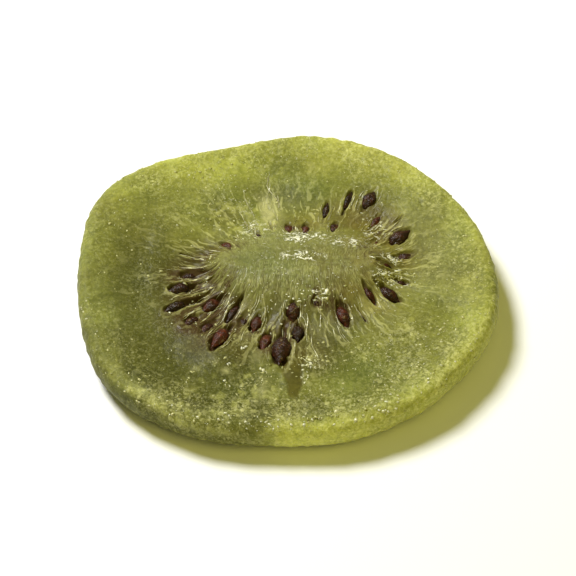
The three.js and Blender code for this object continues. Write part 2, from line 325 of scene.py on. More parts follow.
def ray_noise(ring, ray, across, along, seed):
    """Noise drawn out along the rays: across is cells all the way round, along is cells a ring unit."""
    x = 3 + across / (2 * math.pi) * np.cos(ray)
    y = 5 + across / (2 * math.pi) * np.sin(ray)
    return noise3(x + 3.1 * seed, y + 1.7 * seed, ring * along + 11.9 * seed)


def stacked(*channels):
    """Points from their x, y and z, or colours from their three channels."""
    return np.stack(np.broadcast_arrays(*channels), axis=-1)


def outline_radius(angle):
    ellipse = 1 / np.hypot(np.cos(angle) / LONG_RADIUS, np.sin(angle) / SHORT_RADIUS)
    return ellipse * (1 + unevenness(angle, OUTLINE_LOBES))


def place(ring, ray):
    """Curves of one ring are ellipses round the core, and curves of one ray cross them outwards."""
    x = CORE["x"] + FOCUS * np.cosh(ring) * np.cos(ray)
    y = CORE["y"] + FOCUS * np.sinh(ring) * np.sin(ray)
    return x, y


def elliptic(x, y):
    """The ring and ray of a point, the reverse of place."""
    u = (x - CORE["x"]) + 1j * (y - CORE["y"])
    w = np.arccosh(u / FOCUS)
    return np.abs(w.real), np.where(w.real < 0, -w.imag, w.imag)


def outline_share(x, y):
    return np.hypot(x, y) / outline_radius(np.arctan2(y, x))


def last_ring(ray):
    """The ring at which each ray meets the outline, by halving."""
    low = np.zeros_like(ray)
    high = np.full_like(ray, RING_LIMIT)
    for _ in range(HALVINGS):
        middle = (low + high) / 2
        inside = outline_share(*place(middle, ray)) < 1
        low = np.where(inside, middle, low)
        high = np.where(inside, high, middle)
    return low


def outline_shift():
    """How far the outline's box has to move to fit the solid's."""
    ray = np.linspace(0, 2 * math.pi, 4 * RAYS)
    x, y = place(last_ring(ray), ray)
    middle = (node_low + node_high) / 2 / MM
    return np.array([middle.x - (x.min() + x.max()) / 2, middle.y - (y.min() + y.max()) / 2, node_low.z / MM])


SHIFT = outline_shift()


def seed_at(ring, ray, size, show=1.0, tail=0.0, slim=1.0, red=0.2):
    """Where a seed lies, with the direction of its ray outwards, and how it looks."""
    here = np.array(place(ring, ray))
    out = np.array(place(ring + RING_STEP, ray)) - here
    out = out / np.hypot(*out)
    return SimpleNamespace(
        at=here, out=out, ring=ring, ray=ray, size=size, show=show, tail=tail, slim=slim, red=red
    )


def beside(seed, along, across):
    """The point that lies so far outwards from a seed's middle and so far to its side."""
    x = seed.at[0] + along * seed.out[0] - across * seed.out[1]
    y = seed.at[1] + along * seed.out[1] + across * seed.out[0]
    return x, y


def top_seeds():
    found = []
    for first, last, seeds in FANS:
        for i, (ring, *looks) in enumerate(seeds):
            ray = math.radians(first + (last - first) * i / (len(seeds) - 1))
            found.append(seed_at(ring, ray, *looks))
    return found


def low_seeds():
    found = []
    for i in range(LOW_SEEDS["count"]):
        share = i / (LOW_SEEDS["count"] - 1)
        ray = math.radians(LOW_SEEDS["start"] + share * (LOW_SEEDS["end"] - LOW_SEEDS["start"]))
        ring = LOW_SEEDS["ring"] + LOW_SEEDS["wave"] * math.sin(2.4 * i)
        found.append(seed_at(ring, ray, 1 + LOW_SEEDS["size_wave"] * math.sin(5 * i + 1)))
    return found


TOP_SEEDS = top_seeds()
UNDER_SEEDS = low_seeds()


def curl(x, y):
    uneven = CURL["mean"] + unevenness(np.arctan2(y, x), CURL_LOBES)
    return CURL["height"] * uneven * smooth(outline_share(x, y), CURL["start"], CURL["end"])


def pocket_fields(x, y):
    """How near the middle of a pocket each point is, from 0 at its edge to 1, and how near its lip."""
    nearest = np.full_like(x, 9.0)
    strength = np.zeros_like(x)
    uneven = 0.22 * noise(stacked(x, y, 0), 0.9, 14) + 0.16 * noise(stacked(x, y, 0), 0.4, 15)
    uneven = uneven + 0.22 * ray_noise(*elliptic(x, y), 110, 2.5, 18)
    for seed in TOP_SEEDS:
        dx = x - seed.at[0]
        dy = y - seed.at[1]
        along = dx * seed.out[0] + dy * seed.out[1]
        across = dy * seed.out[0] - dx * seed.out[1]
        inward = POCKET["long"] * seed.size * (1 + POCKET["tail"] * seed.tail)
        outward = POCKET["long"] * seed.size * 0.85
        along = np.where(along < 0, along / inward, along / outward)
        narrowing = 1 - 0.45 * smooth(-along, 0, 1)
        far = smooth(math.sin(seed.ray), 0.2, 0.8)
        across = across / (POCKET["wide"] * seed.size * seed.slim * narrowing * (1 - 0.22 * far))
        distance = np.hypot(along, across) + uneven
        closer = distance < nearest
        shallow = 1 - 0.35 * far - 0.3 * smooth(math.cos(seed.ray), 0.3, 0.8)
        strength = np.where(closer, (0.35 + 0.65 * seed.show) * shallow, strength)
        nearest = np.where(closer, distance, nearest)
    return fade(nearest, 0.5, 1) * strength, bell(nearest, 1.1, 0.12) * strength


def crease(ring, ray):
    across = FOCUS * np.cosh(ring) * turn_from(ray, math.radians(CREASE["angle"]))
    run = span(ring, CREASE["start"], CREASE["full"], CREASE["fading"], CREASE["end"])
    return bell(across, 0, CREASE["wide"]) * run


def tongue(x, y):
    """The smooth olive wedge that runs from the largest seed towards the near rim."""
    down = (TONGUE["start"] - y) / (TONGUE["start"] - TONGUE["end"])
    middle = TONGUE["x"] + TONGUE["lean"] * down + 0.12 * np.sin(2.1 * y)
    half = TONGUE["wide"] * (1 - 0.75 * held(down) ** 1.3)
    return fade(np.abs(x - middle) / half, 0.75, 1.1) * span(down, -0.15, 0, 0.8, 1.05)


def form_height(x, y, ring, ray):
    """The cut face's height without its pockets and fine relief."""
    in_ring = hump(ring, SEED_RING["inner"], SEED_RING["outer"])
    in_flesh = hump(outline_share(x, y), FLESH["start"], 1)
    dome = DOME["height"] * fade(ring, DOME["top"], DOME["foot"])
    near_left = smooth(np.cos(ray - math.radians(NEAR_LEFT)), 0.2, 0.8)
    fibre_height = FIBRES["height"] * (1 + unevenness(ray, FIBRE_LOBES)) * (0.08 + 0.5 * near_left)
    fibre_height = fibre_height * (1 - 0.8 * smooth(ring, 1, 1.25))
    fibre = fibre_height * np.cos(FIBRES["count"] * ray) * in_ring
    fold = FLESH["fold_height"] * np.cos(FLESH["folds"] * ray + lobe(ray, *FOLD_SHIFT)) * in_flesh
    raised = THICKNESS + curl(x, y) + dome + fibre + fold
    sunk = SEED_RING["sink"] * in_ring + FLESH["sink"] * in_flesh
    return raised - sunk - CREASE["depth"] * crease(ring, ray)


# Thin cream walls between the seeds: where each lies, how far it runs, and how high it stands
WALLS = {"count": 52, "wide": 0.085, "height": 0.16, "start": 0.5, "wander": 0.03}
wall_shifts = rng.uniform(-0.38, 0.38, WALLS["count"])
wall_rays = 2 * math.pi * (np.arange(WALLS["count"]) + wall_shifts) / WALLS["count"]
wall_starts = WALLS["start"] + rng.uniform(-0.08, 0.12, WALLS["count"])
wall_ends = rng.uniform(0.82, 1.32, WALLS["count"])
wall_heights = rng.uniform(0.25, 1, WALLS["count"]) ** 1.5


def wall_field(ring, ray):
    """How near each point is to a wall's crest, from 0 to 1."""
    field = np.zeros_like(ray)
    for i, (middle, start, end, height) in enumerate(zip(wall_rays, wall_starts, wall_ends, wall_heights)):
        wander = WALLS["wander"] * (np.sin(9 * ring + 2.3 * i) + 0.6 * np.sin(21 * ring + i))
        across = FOCUS * np.sqrt(np.sinh(ring) ** 2 + np.sin(ray) ** 2) * turn_from(ray, middle + wander)
        run = span(ring, start, start + 0.1, end - 0.25, end)
        field = np.maximum(field, height * run * bell(across, 0, WALLS["wide"]))
    return field


def top_fields(x, y, ring, ray):
    """What each point of the cut face lies in or near, mostly from 0 to 1."""
    pocket, lip = pocket_fields(x, y)
    outside_core = smooth(ring, 0.12, 0.5)
    broken_lip = held(0.5 + 0.8 * ray_noise(ring, ray, 60, 7, 3))
    broken_wall = held(0.45 + ray_noise(ring, ray, 40, 9, 5))
    return SimpleNamespace(
        pocket=pocket,
        lip=lip * broken_lip,
        wall=wall_field(ring, ray) * (1 - 0.8 * pocket) * broken_wall,
        streak=ray_noise(ring, ray, 150, 3, 1) * outside_core,
        fine_streak=ray_noise(ring, ray, 330, 4, 2) * outside_core,
        in_ring=hump(ring, SEED_RING["inner"], SEED_RING["outer"]),
        in_core=fade(ring, 0.45, 0.8),
        tongue=tongue(x, y),
    )


def top_height(x, y, ring, ray, fields):
    relief = POCKET["lip"] * fields.lip + WALLS["height"] * fields.wall
    calm = fade(ring, 1, 1.3) * (1 - 0.75 * smooth(y, 4, 7))
    relief = relief + (STREAKS["height"] + STREAKS["more_in_ring"] * fields.in_ring) * fields.streak * calm
    relief = relief + STREAKS["fine"] * fields.fine_streak * calm - TONGUE["sink"] * fields.tongue
    return form_height(x, y, ring, ray) + relief - POCKET["depth"] * fields.pocket


def surface_at(x, y):
    where = (x, y, *elliptic(x, y))
    return top_height(*where, top_fields(*where))


def swelling(x, y):
    """How far the nearest swelling of the underside reaches down."""
    deepest = np.zeros_like(x)
    for degrees in SWELLINGS["angles"]:
        angle = math.radians(degrees)
        reach = SWELLINGS["share"] * outline_radius(angle)
        away = np.hypot(x - reach * math.cos(angle), y - reach * math.sin(angle))
        deepest = np.maximum(deepest, SWELLINGS["height"] * fade(away, 0, SWELLINGS["radius"]))
    return deepest


def low_height(x, y, ring):
    sunk = LOW_RING["sink"] * hump(ring, LOW_RING["inner"], LOW_RING["outer"])
    return SWELLINGS["height"] - swelling(x, y) + curl(x, y) + sunk


def squarer(value):
    return np.sign(value) * np.abs(value) ** (2 / EDGE_POWER)


def surface_rows():
    """The slice's surface as rows of points from the core over the rim and back under it."""
    ray = np.linspace(0, 2 * math.pi, RAYS, endpoint=False)
    end = last_ring(ray)
    edge_x, edge_y = place(end, ray)
    inner_x, inner_y = place(end - RING_STEP, ray)
    near_right = facing(edge_x, edge_y, NEAR_RIGHT)
    step = np.hypot(edge_x - inner_x, edge_y - inner_y)
    edge_rings = EDGE_WIDTH * (1 + 0.7 * near_right) * RING_STEP / step
    face_end = end - edge_rings
    rows = [(np.arcsinh(i / TOP_ROWS * np.sinh(face_end)), 1) for i in range(TOP_ROWS)]
    for i in range(EDGE_ROWS + 1):
        turn = math.pi * i / EDGE_ROWS
        rows.append((face_end + edge_rings * squarer(math.sin(turn)), squarer(math.cos(turn))))
    rows += [(np.arcsinh((1 - (i + 1) / LOW_ROWS) * np.sinh(face_end)), -1) for i in range(LOW_ROWS)]
    ring = np.array([row[0] for row in rows])
    side = np.array([np.full(RAYS, float(row[1])) for row in rows])
    return ring, np.broadcast_to(ray, ring.shape), side


def grid_normals(points):
    """Outward normals of the rows and rays of points."""
    along = np.gradient(points, axis=0)
    across = (np.roll(points, -1, axis=1) - np.roll(points, 1, axis=1)) / 2
    normals = np.cross(along, across)
    lengths = np.linalg.norm(normals, axis=2, keepdims=True)
    return normals / np.maximum(lengths, 1e-9)


def grid_faces(rows, sides, start=0, flipped=False):
    """The faces between closed rows of points that are numbered row by row."""
    faces = []
    for i, j in itertools.product(range(rows), range(sides)):
        here = start + i * sides + j
        following = start + i * sides + (j + 1) % sides
        if flipped:
            faces.append((here, following, following + sides, here + sides))
        else:
            faces.append((here, here + sides, following + sides, following))
    return faces


def show(name, data):
    thing = bpy.data.objects.new(name, data)
    bpy.context.scene.collection.objects.link(thing)
    return thing


def build_mesh(name, points, faces, material):
    mesh = bpy.data.meshes.new(name)
    mesh.from_pydata(((np.reshape(points, (-1, 3)) + SHIFT) * MM).tolist(), [], faces)
    mesh.update()
    mesh.shade_smooth()
    mesh.materials.append(material)
    return show(name, mesh)


def paint(piece, name, colours):
    """Gives a piece a colour for each point, for its material to read."""
    attribute = piece.data.color_attributes.new(name, "FLOAT_COLOR", "POINT")
    rgba = np.ones((len(piece.data.vertices), 4), np.float32)
    rgba[:, :3] = np.reshape(colours, (-1, 3))
    attribute.data.foreach_set("color", rgba.ravel())


def mix(first, second, share):
    share = np.asarray(share)[..., None]
    return first * (1 - share) + second * share


def tinted(colour, share, change):
    """The colour with its channels changed by a share of the given change."""
    return colour * (1 + share[..., None] * np.array(change))


def spots(points, places):
    """The sum of soft round spots."""
    x, y = points[..., 0], points[..., 1]
    return sum(
        strength * bell(x, centre_x, wide) * bell(y, centre_y, deep)
        for centre_x, centre_y, wide, deep, strength in places
    )


def lightness(points, share):
    """How light the flesh is, from 0 to 1: lighter at the far side, at the right and along the rim. This is
    partly painted light: lighter towards the far side, where the light comes from; darker at the left as
    painted shade; and lighter along the rim as painted glow. The noise is tone that differs at random.
    """
    x, y = points[..., 0], points[..., 1]
    light = 0.2 + 0.32 * smooth(y, 0, 19) + 0.2 * smooth(x, -4, 20)
    light = light + (0.14 + 0.14 * smooth(x, -16, 4)) * smooth(share, 0.78, 0.98)
    light = light + 0.14 * noise(points, 5.5, 4) + 0.12 * noise(points, 2.2, 5)
    return held(light + 0.05 * noise(points, 0.8, 6) + spots(points, PATCHES))


def skin_at(points, ring, ray, side, fields):
    """What the flesh's looks depend on. side is 1 on the cut face, -1 below, and between them on the rim."""
    x, y = points[..., 0], points[..., 1]
    share = outline_share(x, y)
    degrees = np.degrees(np.arctan2(y, x)) % 360
    upper = smooth(side, -0.9, -0.1)
    found = {"points": points, "x": x, "y": y, "ring": ring, "ray": ray, "side": side}
    return SimpleNamespace(**found, share=share, degrees=degrees, upper=upper, **vars(fields))


def crest_highlight(at):
    """Painted highlight: where the cut face's edge stands out as a pale line, along the near left of the rim.
    """
    middle = 0.8 - 0.4 * smooth(at.degrees, 228, 242)
    return bell(at.side, middle, 0.22) * smooth(at.share, 0.91, 0.95) * span(at.degrees, 208, 228, 258, 270)


def painted_side_glow(at):
    """Painted glow: where the slice's side at the near right is painted lighter, as if light shone out of it,
    and how far towards its darker end.
    """
    painted_glow = (1 - np.abs(at.side) ** 5) * span(at.degrees, 259, 271, 330, 358)
    return painted_glow, smooth(at.degrees, 276, 304)


def flesh_colours(at):
    light = lightness(at.points, at.share)
    # The lightness is partly painted light: painted shade at the left and painted glow along the rim
    colour = mix(DARK_FLESH, MID_FLESH, smooth(light, 0, 0.45))
    colour = mix(colour, LIGHT_FLESH, smooth(light, 0.35, 1))
    colour = mix(colour, CORE_GREEN, 0.9 * at.in_core)
    greener = np.clip(spots(at.points, GREENER) + 0.35 * noise(at.points, 3.2, 27), -0.4, 1)
    colour = tinted(colour, greener, (-0.1, 0, 0.06))
    warmer = np.clip(spots(at.points, WARMER) * (0.8 + 0.4 * noise(at.points, 1.1, 28)), 0, 1.1)
    colour = tinted(colour, warmer * at.upper, (0, -0.14, -0.2))
    # Darker and paler spots, partly painted shade at the left and lower left
    colour = tinted(colour, np.clip(spots(at.points, SHADES), -2, 1.5) * at.upper, -0.22)
    clumps = smooth(noise(at.points, 0.7, 37) + 0.5 * noise(at.points, 0.3, 38), 0.2, 0.55) * at.upper
    clumpy = held(spots(at.points, CLUMPS))
    colour = mix(tinted(colour, clumpy * at.upper, -0.13), PULP, 0.36 * clumps * clumpy)
    # Painted glow: the side at the near right is painted lighter, as if light shone out of it
    painted_glow, fading = painted_side_glow(at)
    colour = mix(colour, PAINTED_GLOW_FLESH * (1.8 - 0.55 * fading)[..., None], 0.85 * painted_glow)
    # Painted shade on the near left side, below the cut face
    painted_side_shade = span(at.degrees, 205, 222, 254, 264) * fade(at.side, -0.3, 0.2)
    colour = mix(colour, 1.5 * DARK_FLESH, 0.6 * painted_side_shade)
    streaky = held(0.55 + 0.9 * ray_noise(*elliptic(at.x, at.y), 90, 2.5, 35))
    colour = mix(colour, 0.9 * CREAM, 0.62 * held(spots(at.points, WISPS)) * streaky * at.upper)
    # Painted highlight along the crest of the near left rim
    colour = mix(colour, CREST_HIGHLIGHT, crest_highlight(at) * held(0.45 + 0.5 * noise(at.points, 1.1, 33)))
    colour = mix(colour, TONGUE_OLIVE, 0.95 * at.tongue * at.upper)
    colour = mix(colour, POCKET_BROWN, held(1.2 * at.pocket) * at.upper)
    broken = np.clip(0.65 + 1.5 * noise(at.points, 0.4, 36), 0, 1.4)
    cream = held(0.9 * broken * at.lip + 0.9 * at.wall)
    return held(mix(colour, CREAM, 0.75 * cream * at.upper))


def flesh_feel(at):
    """How strong the net of cell walls is, how many clots of pulp there are, and how frosty it is, the frost
    being partly painted glint.
    """
    rim = smooth(at.share, 0.76, 0.9)
    patchy = held(0.65 + 0.9 * noise(at.points, 2.6, 24))
    grainy = held(spots(at.points, GRAINY))
    # Where the side is painted with glow, which also gets more granules
    painted_glow, _ = painted_side_glow(at)
    net = (0.34 + 0.66 * rim + 0.5 * grainy) * (0.5 + 0.5 * patchy) * smooth(at.ring, 0.9, 1.25)
    near = facing(at.x, at.y, NEAR)
    edge = near * hump(at.share, 0.88, 1) * (0.5 + 0.5 * patchy)
    clots = 0.05 + (0.35 + 0.4 * near) * rim + 0.9 * grainy
    clots = clots * (0.3 + 0.7 * patchy) * smooth(at.ring, 0.85, 1.2)
    # More clots on the painted crest highlight and on the painted glow of the side
    clots = clots + 0.3 * edge + 0.9 * crest_highlight(at) + 1.2 * painted_glow
    frost_and_glint = spots(at.points, FROST_AND_GLINT_SPOTS) * at.upper * (1 - 0.6 * at.pocket)
    clear = (1 - at.pocket) * (1 - at.tongue) * at.upper + 1 - at.upper
    clear = clear * (1 - 0.5 * smooth(-at.x, 15.5, 18.5))
    return held(stacked((net + 0.4 * painted_glow) * clear, clots * clear, frost_and_glint))


def flesh_weave(at):
    """How strongly fibres show, how brown the membranes between them are, and how deep the relief is."""
    in_ring = hump(at.ring, 0.5, 1.45)
    near_half = smooth(-at.y, -3.5, 1)
    patchy = held(0.55 + 1.1 * noise(at.points, 1.7, 29))
    core_hairs = at.in_core * smooth(at.ring, 0, 0.05) * (0.5 + 0.3 * near_half) * (0.2 + 0.8 * patchy)
    flesh_hairs = 0.3 * patchy * span(at.ring, 1.1, 1.3, 1.5, 1.7)
    uncovered = (1 - at.pocket) * at.upper
    fibres = held(0.75 * in_ring + core_hairs + flesh_hairs) * uncovered
    brown = spots(at.points, STAINS) * (0.85 + 0.5 * noise(at.points, 0.9, 17))
    brown = brown + 0.1 * in_ring + 0.3 * at.in_core * (0.4 + 0.6 * near_half)
    far = smooth(at.y, 4, 8) * fade(at.x, 0, 4)
    ridges = 0.8 * in_ring * (1 - 0.8 * smooth(at.ring, 1.05, 1.25)) * (1 - 0.75 * far)
    relief = held((ridges + 0.4 * core_hairs) * uncovered)
    return stacked(fibres, np.clip(brown, 0, 0.95) * at.upper, relief)


def flesh_polar(at):
    """The direction of each point's ray, and how far along it the point lies."""
    return stacked(0.5 + 0.5 * np.cos(at.ray), 0.5 + 0.5 * np.sin(at.ray), at.ring / RING_LIMIT)


def flesh_zones(at):
    """Where the surface is dull, and where the core and the tongue are."""
    dull = held(smooth(at.share, 0.84, 0.93) + spots(at.points, DULL))
    return stacked(dull, at.in_core * at.upper, at.tongue)


def build_flesh():
    ring, ray, side = surface_rows()
    x, y = place(ring, ray)
    fields = top_fields(x, y, ring, ray)
    high = top_height(x, y, ring, ray, fields)
    low = low_height(x, y, ring)
    z = (high + low) / 2 + side * (high - low) / 2
    points = stacked(x, y, z)
    off_axis = smooth(ring, 0, 0.12)
    rough = LUMPS["face"] + LUMPS["more_at_rim"] * smooth(outline_share(x, y), 0.78, 0.95)
    lumps = rough * (noise(points, 0.9, 8) + 0.7 * noise(points, 0.45, 9)) * off_axis
    lumps = lumps + LUMPS["broad"] * noise(points, 2.6, 10) * smooth(ring, 0.8, 1.3)
    core_lumps = noise(points, 1.1, 12) + 0.5 * noise(points, 0.5, 13)
    lumps = lumps + LUMPS["core"] * fields.in_core * core_lumps * off_axis
    points = points + grid_normals(points) * (lumps * smooth(z, 0.15, 0.7))[..., None]
    piece = build_mesh("kiwi_flesh", points, grid_faces(len(points) - 1, RAYS), flesh_material())
    skin = skin_at(points, ring, ray, side, fields)
    paint(piece, "tint", flesh_colours(skin))
    paint(piece, "feel", flesh_feel(skin))
    paint(piece, "weave", flesh_weave(skin))
    paint(piece, "polar", flesh_polar(skin))
    paint(piece, "zones", flesh_zones(skin))
    weld_seams(piece)
    return piece, points, side


def weld_seams(piece):
    """The core's middle line is met by two rays from its two sides, which are joined here."""
    bm = bmesh.new()
    bm.from_mesh(piece.data)
    points = list(bm.verts)
    bmesh.ops.remove_doubles(bm, verts=points[:RAYS] + points[-RAYS:], dist=WELD * MM)
    bm.to_mesh(piece.data)
    bm.free()
    piece.data.shade_smooth()


def seed_points(seed, height, tilt, roll):
    """A flattened ball, blunt at the core's end and pointed at the other, with faint dents."""
    turn = np.linspace(0, math.pi, SEED_ROWS + 1)[:, None]
    round_ = np.linspace(0, 2 * math.pi, SEED_SIDES, endpoint=False)[None, :]
    along = -0.5 * np.cos(turn) * np.ones_like(round_)
    sharper = 0.9 + 0.45 * smooth(along, 0, 0.42)
    radius = 0.5 * np.sin(turn) ** sharper * (1 - SEED["taper"] * smooth(along, -0.12, 0.5))
    dents = stacked(3 * along + 9 * seed.ray, 2.2 * np.cos(round_), 2.2 * np.sin(round_))
    dented = radius * (1 + 0.19 * noise(dents, 1, 31) + 0.06 * noise(dents, 0.35, 32)) * seed.size
    long = along * SEED["long"] * seed.size
    wide = dented * np.cos(round_) * SEED["wide"] * seed.slim
    deep = dented * np.sin(round_) * SEED["thick"] * (0.5 + 0.5 * seed.slim)
    wide, deep = turned(wide, deep, roll)
    level, lifted = turned(long, deep, tilt)
    return stacked(*beside(seed, level, wide), height + lifted)


def seed_tilt(seed):
    """The slope that the cut face has along a seed, so that the seed lies along it."""
    reach = 0.5 * SEED["long"] * seed.size
    ends = [seed.at + way * reach * seed.out for way in (-1, 1)]
    first, last = (float(form_height(x, y, *elliptic(x, y))) for x, y in ends)
    return math.atan2(last - first, 2 * reach)


def build_seeds():
    points = []
    for seed in TOP_SEEDS:
        surface = float(form_height(*seed.at, seed.ring, seed.ray))
        height = surface + SEED["stand"] * seed.size - SEED["hide"] * (1 - seed.show) - SEED["sink"]
        tilt = seed_tilt(seed) + rng.uniform(-SEED_TILT, SEED_TILT)
        points.append(seed_points(seed, height, tilt, rng.uniform(-SEED_ROLL, SEED_ROLL)))
    for seed in UNDER_SEEDS:
        points.append(seed_points(seed, SEED["thick"] * seed.size / 2 + LOW_SEEDS["gap"], 0, 0))
    count = (SEED_ROWS + 1) * SEED_SIDES
    faces = []
    for i in range(len(points)):
        faces += grid_faces(SEED_ROWS, SEED_SIDES, i * count, flipped=True)
    piece = build_mesh("kiwi_seeds", np.concatenate(points), faces, seed_material())
    reds = np.repeat([seed.red for seed in TOP_SEEDS + UNDER_SEEDS], count)
    paint(piece, "tint", mix(BLACK_SEED, RED_SEED, reds))
    return piece


STRANDS = {"to_a_side": 2, "loose": 84, "middle": 225, "spread": 75, "thick": 0.045}
STRAND_CUT = {"steps": 22, "sides": 6, "wobble": 0.06}


def pocket_path(seed, side, share):
    """A line that runs outwards along one side of a seed's pocket."""
    inward = POCKET["long"] * seed.size * (1.05 + POCKET["tail"] * seed.tail)
    outward = POCKET["long"] * seed.size * 0.8
    along = -inward + (inward + outward) * share
    narrowing = np.sqrt(held(1 - np.where(along < 0, along / inward, along / outward) ** 2))
    across = side * POCKET["wide"] * seed.size * seed.slim * (0.12 + 0.98 * narrowing)
    return beside(seed, along, across)


def tube(x, y, radius, lift):
    """Rings of points round a line that lies on the cut face."""
    centre = stacked(x, y, surface_at(x, y) + lift)
    ahead = np.gradient(centre, axis=0)
    ahead /= np.linalg.norm(ahead, axis=1, keepdims=True)
    sideways = np.cross(ahead, [0, 0, 1.0])
    sideways /= np.linalg.norm(sideways, axis=1, keepdims=True)
    upward = np.cross(sideways, ahead)
    angle = np.linspace(0, 2 * math.pi, STRAND_CUT["sides"], endpoint=False)[None, :, None]
    around = np.cos(angle) * sideways[:, None, :] + np.sin(angle) * upward[:, None, :]
    return centre[:, None, :] + radius[:, None, None] * around


def strand_paths(share):
    """Broken lines along the sides of the pockets, and loose ones that run outwards, shorter at the right."""
    paths = []
    for seed, side, _ in itertools.product(TOP_SEEDS, (-1, 1), range(STRANDS["to_a_side"])):
        first = rng.uniform(0, 0.5)
        last = first + rng.uniform(0.25, 0.6)
        part = first + (min(last, 1) - first) * share
        paths.append(pocket_path(seed, side * rng.uniform(0.95, 1.3), part))
    for _ in range(STRANDS["loose"]):
        middle = math.radians(rng.normal(STRANDS["middle"], STRANDS["spread"]))
        right = smooth(math.cos(middle), 0, 0.7)
        first = rng.uniform(0.5, 1 - 0.12 * right)
        ring = first + rng.uniform(0.12, 0.42 - 0.2 * right) * share
        wander = rng.uniform(0.01, 0.035)
        phase = rng.uniform(0, 6)
        ray = middle + wander * np.sin(7 * ring + phase) + 0.4 * wander * np.sin(23 * ring + phase)
        paths.append(place(ring, ray))
    return paths


def build_strands():
    """Fine cream fibres."""
    steps, sides = STRAND_CUT["steps"], STRAND_CUT["sides"]
    share = np.linspace(0, 1, steps)
    points = []
    faces = []
    for i, (x, y) in enumerate(strand_paths(share)):
        line = stacked(x, y, i)
        x = x + STRAND_CUT["wobble"] * noise(line, 0.9, 41)
        y = y + STRAND_CUT["wobble"] * noise(line, 0.9, 42)
        beads = np.clip(1 + 0.6 * noise(line, 0.35, 43), 0.3, 1.6)
        taper = np.sin(math.pi * (0.03 + 0.94 * share)) ** 0.8
        radius = STRANDS["thick"] * rng.uniform(0.4, 1.35) * beads * taper
        lift = 0.01 + 0.1 * rng.uniform(0, 1) ** 2 * np.sin(math.pi * share)
        points.append(tube(x, y, radius, lift))
        start = i * steps * sides
        end = start + (steps - 1) * sides
        faces += grid_faces(steps - 1, sides, start, flipped=True)
        faces.append(tuple(range(start, start + sides))[::-1])
        faces.append(tuple(range(end, end + sides)))
    return build_mesh("kiwi_strands", np.concatenate(points), faces, strand_material())


SPECKS = {
    "tries": 9000, "small": 0.06, "large": 0.2, "reach": 0.93, "sunk": 0.3, "on_rim": 0.1, "thickest": 305,
}
# Where crumbs crowd together: (x, y, spread in x, spread in y, count, size, how frosty, partly as painted
# glint), millimetres
CLUSTERS = [
    (2.3, -11.4, 0.7, 0.5, 16, 0.2, 0.4), (2, -13.2, 0.4, 0.7, 12, 0.22, 0.4),
    (-4.6, -9.8, 0.2, 0.2, 5, 0.24, 0.7), (-3, -14.2, 0.5, 1, 16, 0.17, 0.3),
    (3.1, -2.7, 0.9, 0.4, 22, 0.2, 0.9), (11.4, 0.1, 0.9, 0.5, 26, 0.2, 0.9),
    (11.2, 3.1, 0.6, 0.4, 14, 0.2, 0.9), (-11.3, -0.6, 0.25, 0.15, 4, 0.26, 1),
    (1.4, 5.5, 1.2, 0.5, 22, 0.26, 1), (2, 2.4, 1.3, 0.35, 14, 0.24, 1),
    (-1.5, -2.5, 3, 0.9, 20, 0.18, 0.8), (-11.2, -0.1, 0.1, 0.1, 2, 0.36, 1),
    (-8.1, -2.3, 0.1, 0.1, 1, 0.34, 1), (-4.7, -9.9, 0.12, 0.12, 2, 0.36, 0.9),
    (-6.6, -14.2, 0.3, 0.2, 3, 0.3, 0.7), (-6.3, -11.7, 0.2, 0.2, 3, 0.3, 0.7),
    (-2.8, -12.4, 0.15, 0.15, 2, 0.34, 0.7), (1.9, -12, 0.2, 0.15, 3, 0.34, 0.8),
    (3.9, -2.4, 0.25, 0.15, 4, 0.32, 1), (5.9, -2.8, 0.2, 0.12, 2, 0.34, 1),
    (9.2, 2.2, 0.1, 0.1, 1, 0.34, 1), (11.1, 3.6, 0.2, 0.15, 3, 0.36, 1),
    (10.4, 0.6, 0.4, 0.2, 6, 0.34, 1), (12.1, 6.4, 0.1, 0.1, 1, 0.34, 1),
    (12.3, 1.5, 0.3, 0.2, 4, 0.3, 1), (6.4, 5, 1.5, 0.9, 30, 0.1, 0.8), (-1, 2.6, 4, 2, 110, 0.1, 0.8),
    (0, -2, 5, 1.8, 90, 0.11, 0.7), (6, -2.5, 3, 1.6, 40, 0.14, 0.8), (-7, -3.5, 3, 2, 30, 0.12, 0.7),
    (-2.2, -6, 1.2, 0.9, 10, 0.13, 0.7), (-9, -4.5, 1.8, 1.6, 14, 0.12, 0.7),
    (9, 8, 1.6, 1.6, 18, 0.12, 0.7), (-4.5, 8, 2.2, 1.6, 12, 0.17, 0.8), (-6, 13, 3, 1.6, 20, 0.13, 0.4),
    (8.5, -9.5, 2.6, 2.6, 50, 0.13, 0.4), (12, -11, 3, 3, 70, 0.13, 0.4),
    (-9, 8, 2.5, 1.6, 24, 0.14, 0.4),
]


